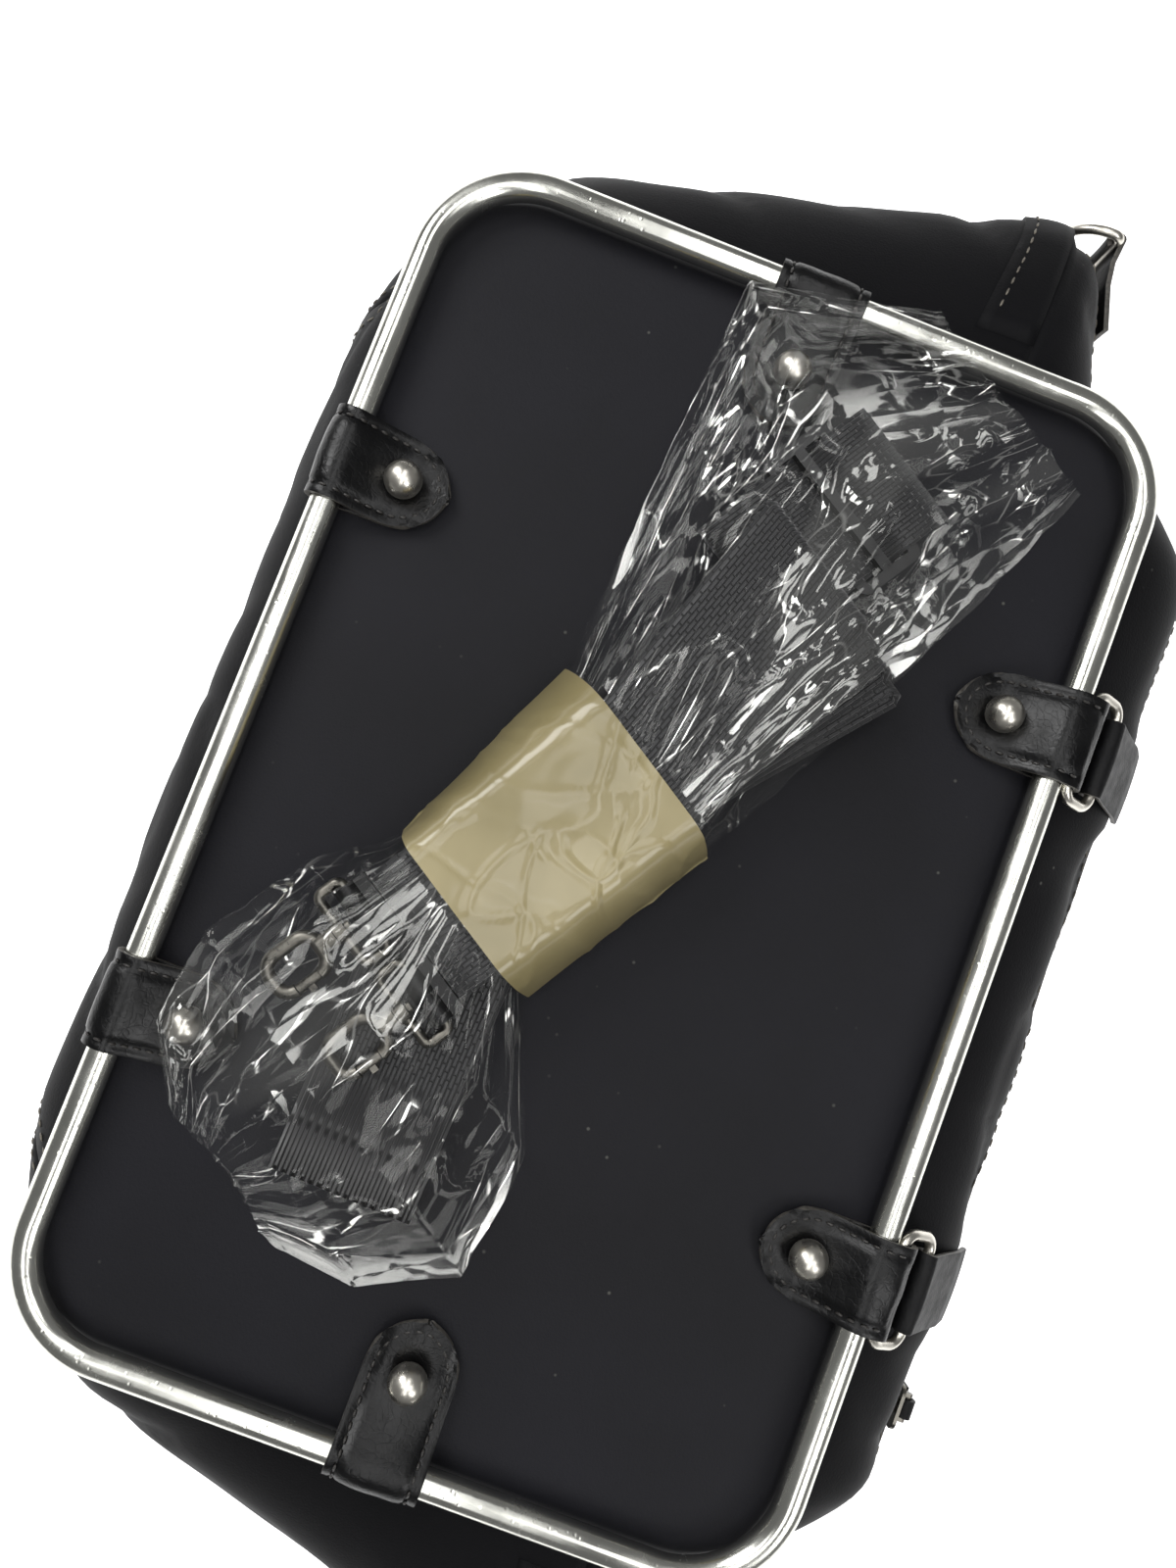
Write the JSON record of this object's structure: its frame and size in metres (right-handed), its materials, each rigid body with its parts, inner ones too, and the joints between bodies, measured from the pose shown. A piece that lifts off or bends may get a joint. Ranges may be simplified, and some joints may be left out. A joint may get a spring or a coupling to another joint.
{
  "type": "soft frame handbag with a wrapped shoulder strap",
  "caption": "Soft black nylon handbag on its back with a chromed tube frame held by leather tabs, and its shoulder strap wrapped in clear film and tape on top.",
  "frame": {"origin": "centre of the bag's outline in plan, at the height of the surface that the back tabs' crowns lie on", "axes": "bag lying on its back: +X along its long side, +Y towards its zipped top, +Z out of the framed front face"},
  "size_m": [0.4702, 0.2654, 0.1108],
  "materials": {
    "chrome_tube": "polished chromed steel tube, fine pits",
    "ball_stud_nickel": "polished nickel",
    "plain_steel": "plain zinc steel",
    "nickel_hardware": "polished nickel, slightly warm",
    "glossy_black_leather": "smooth glossy calf, fine creases, grey edges",
    "matte_black_leather": "matt smooth leather",
    "board": "bonded fibre board",
    "lining_twill": "woven lining",
    "black_nylon": "coated nylon twill, fine matt grain",
    "zip_tape": "woven zip tape",
    "zip_coil": "nylon coil",
    "black_metal": "black coated",
    "black_webbing": "ribbed nylon webbing",
    "clear_film": "clear crinkled plastic film",
    "beige_tape": "beige packing tape, wrinkled, glossy"
  },
  "bodies": {
    "bag": {"back_base_far_tab": "glossy_black_leather", "back_base_near_tab": "glossy_black_leather", "back_board": "board", "back_cover": "black_nylon", "back_far_chape": "matte_black_leather", "back_far_ring": "nickel_hardware", "back_far_tab": "glossy_black_leather", "back_lining": "lining_twill", "back_near_chape": "matte_black_leather", "back_near_ring": "nickel_hardware", "back_near_tab": "glossy_black_leather", "back_stud_screws": "plain_steel", "back_studs": "ball_stud_nickel", "back_top_gusset": "black_nylon", "back_tube_frame": "chrome_tube", "back_zip_far_tab": "glossy_black_leather", "back_zip_near_tab": "glossy_black_leather", "back_zip_tape": "zip_tape", "base_gusset": "black_nylon", "far_end_chape": "matte_black_leather", "far_end_gusset": "black_nylon", "front_base_far_tab": "glossy_black_leather", "front_base_near_tab": "glossy_black_leather", "front_board": "board", "front_cover": "black_nylon", "front_far_chape": "matte_black_leather", "front_far_ring": "nickel_hardware", "front_far_tab": "glossy_black_leather", "front_lining": "lining_twill", "front_near_chape": "matte_black_leather", "front_near_ring": "nickel_hardware", "front_near_tab": "glossy_black_leather", "front_stud_screws": "plain_steel", "front_studs": "ball_stud_nickel", "front_top_gusset": "black_nylon", "front_tube_frame": "chrome_tube", "front_zip_far_tab": "glossy_black_leather", "front_zip_near_tab": "glossy_black_leather", "front_zip_tape": "zip_tape", "near_end_chape": "matte_black_leather", "near_end_gusset": "black_nylon", "zip_chain": "zip_coil"},
    "zip_slider": {"zip_slider": "nickel_hardware"},
    "zip_pull": {"zip_pull": "matte_black_leather"},
    "far_end_ring": {"far_end_ring": "nickel_hardware"},
    "near_end_ring": {"near_end_ring": "nickel_hardware"},
    "strap_packet": {"film_envelope": "clear_film", "tape_band": "beige_tape", "shoulder_strap": "black_webbing", "strap_slide": "black_metal", "base_side_hook_body": "nickel_hardware", "base_side_hook_eye": "nickel_hardware", "base_side_hook_gate": "nickel_hardware", "base_side_strap_end": "matte_black_leather", "zip_side_hook_body": "nickel_hardware", "zip_side_hook_eye": "nickel_hardware", "zip_side_hook_gate": "nickel_hardware", "zip_side_strap_end": "matte_black_leather"}
  },
  "joints": [
    {"name": "zip_slide", "type": "slide", "parent": "bag", "child": "zip_slider", "axis": [1, 0, 0], "range_m": [-0.236, 0]},
    {"name": "zip_pull_swing", "type": "hinge", "parent": "zip_slider", "child": "zip_pull", "pos_m": [0.118, 0.1303, 0.04475], "axis": [1, 0, 0], "range_deg": [-3, 140]},
    {"name": "near_end_ring_swing", "type": "hinge", "parent": "bag", "child": "near_end_ring", "pos_m": [0.2317, 0.069, 0.04475], "axis": [0, 0, 1], "range_deg": [0, 150]},
    {"name": "far_end_ring_swing", "type": "hinge", "parent": "bag", "child": "far_end_ring", "pos_m": [-0.2317, 0.069, 0.04475], "axis": [0, 0, -1], "range_deg": [0, 150]},
    {"name": "strap_packet_lift", "type": "slide", "parent": "bag", "child": "strap_packet", "axis": [0, 0, 1], "range_m": [0, 0.15]}
  ]
}
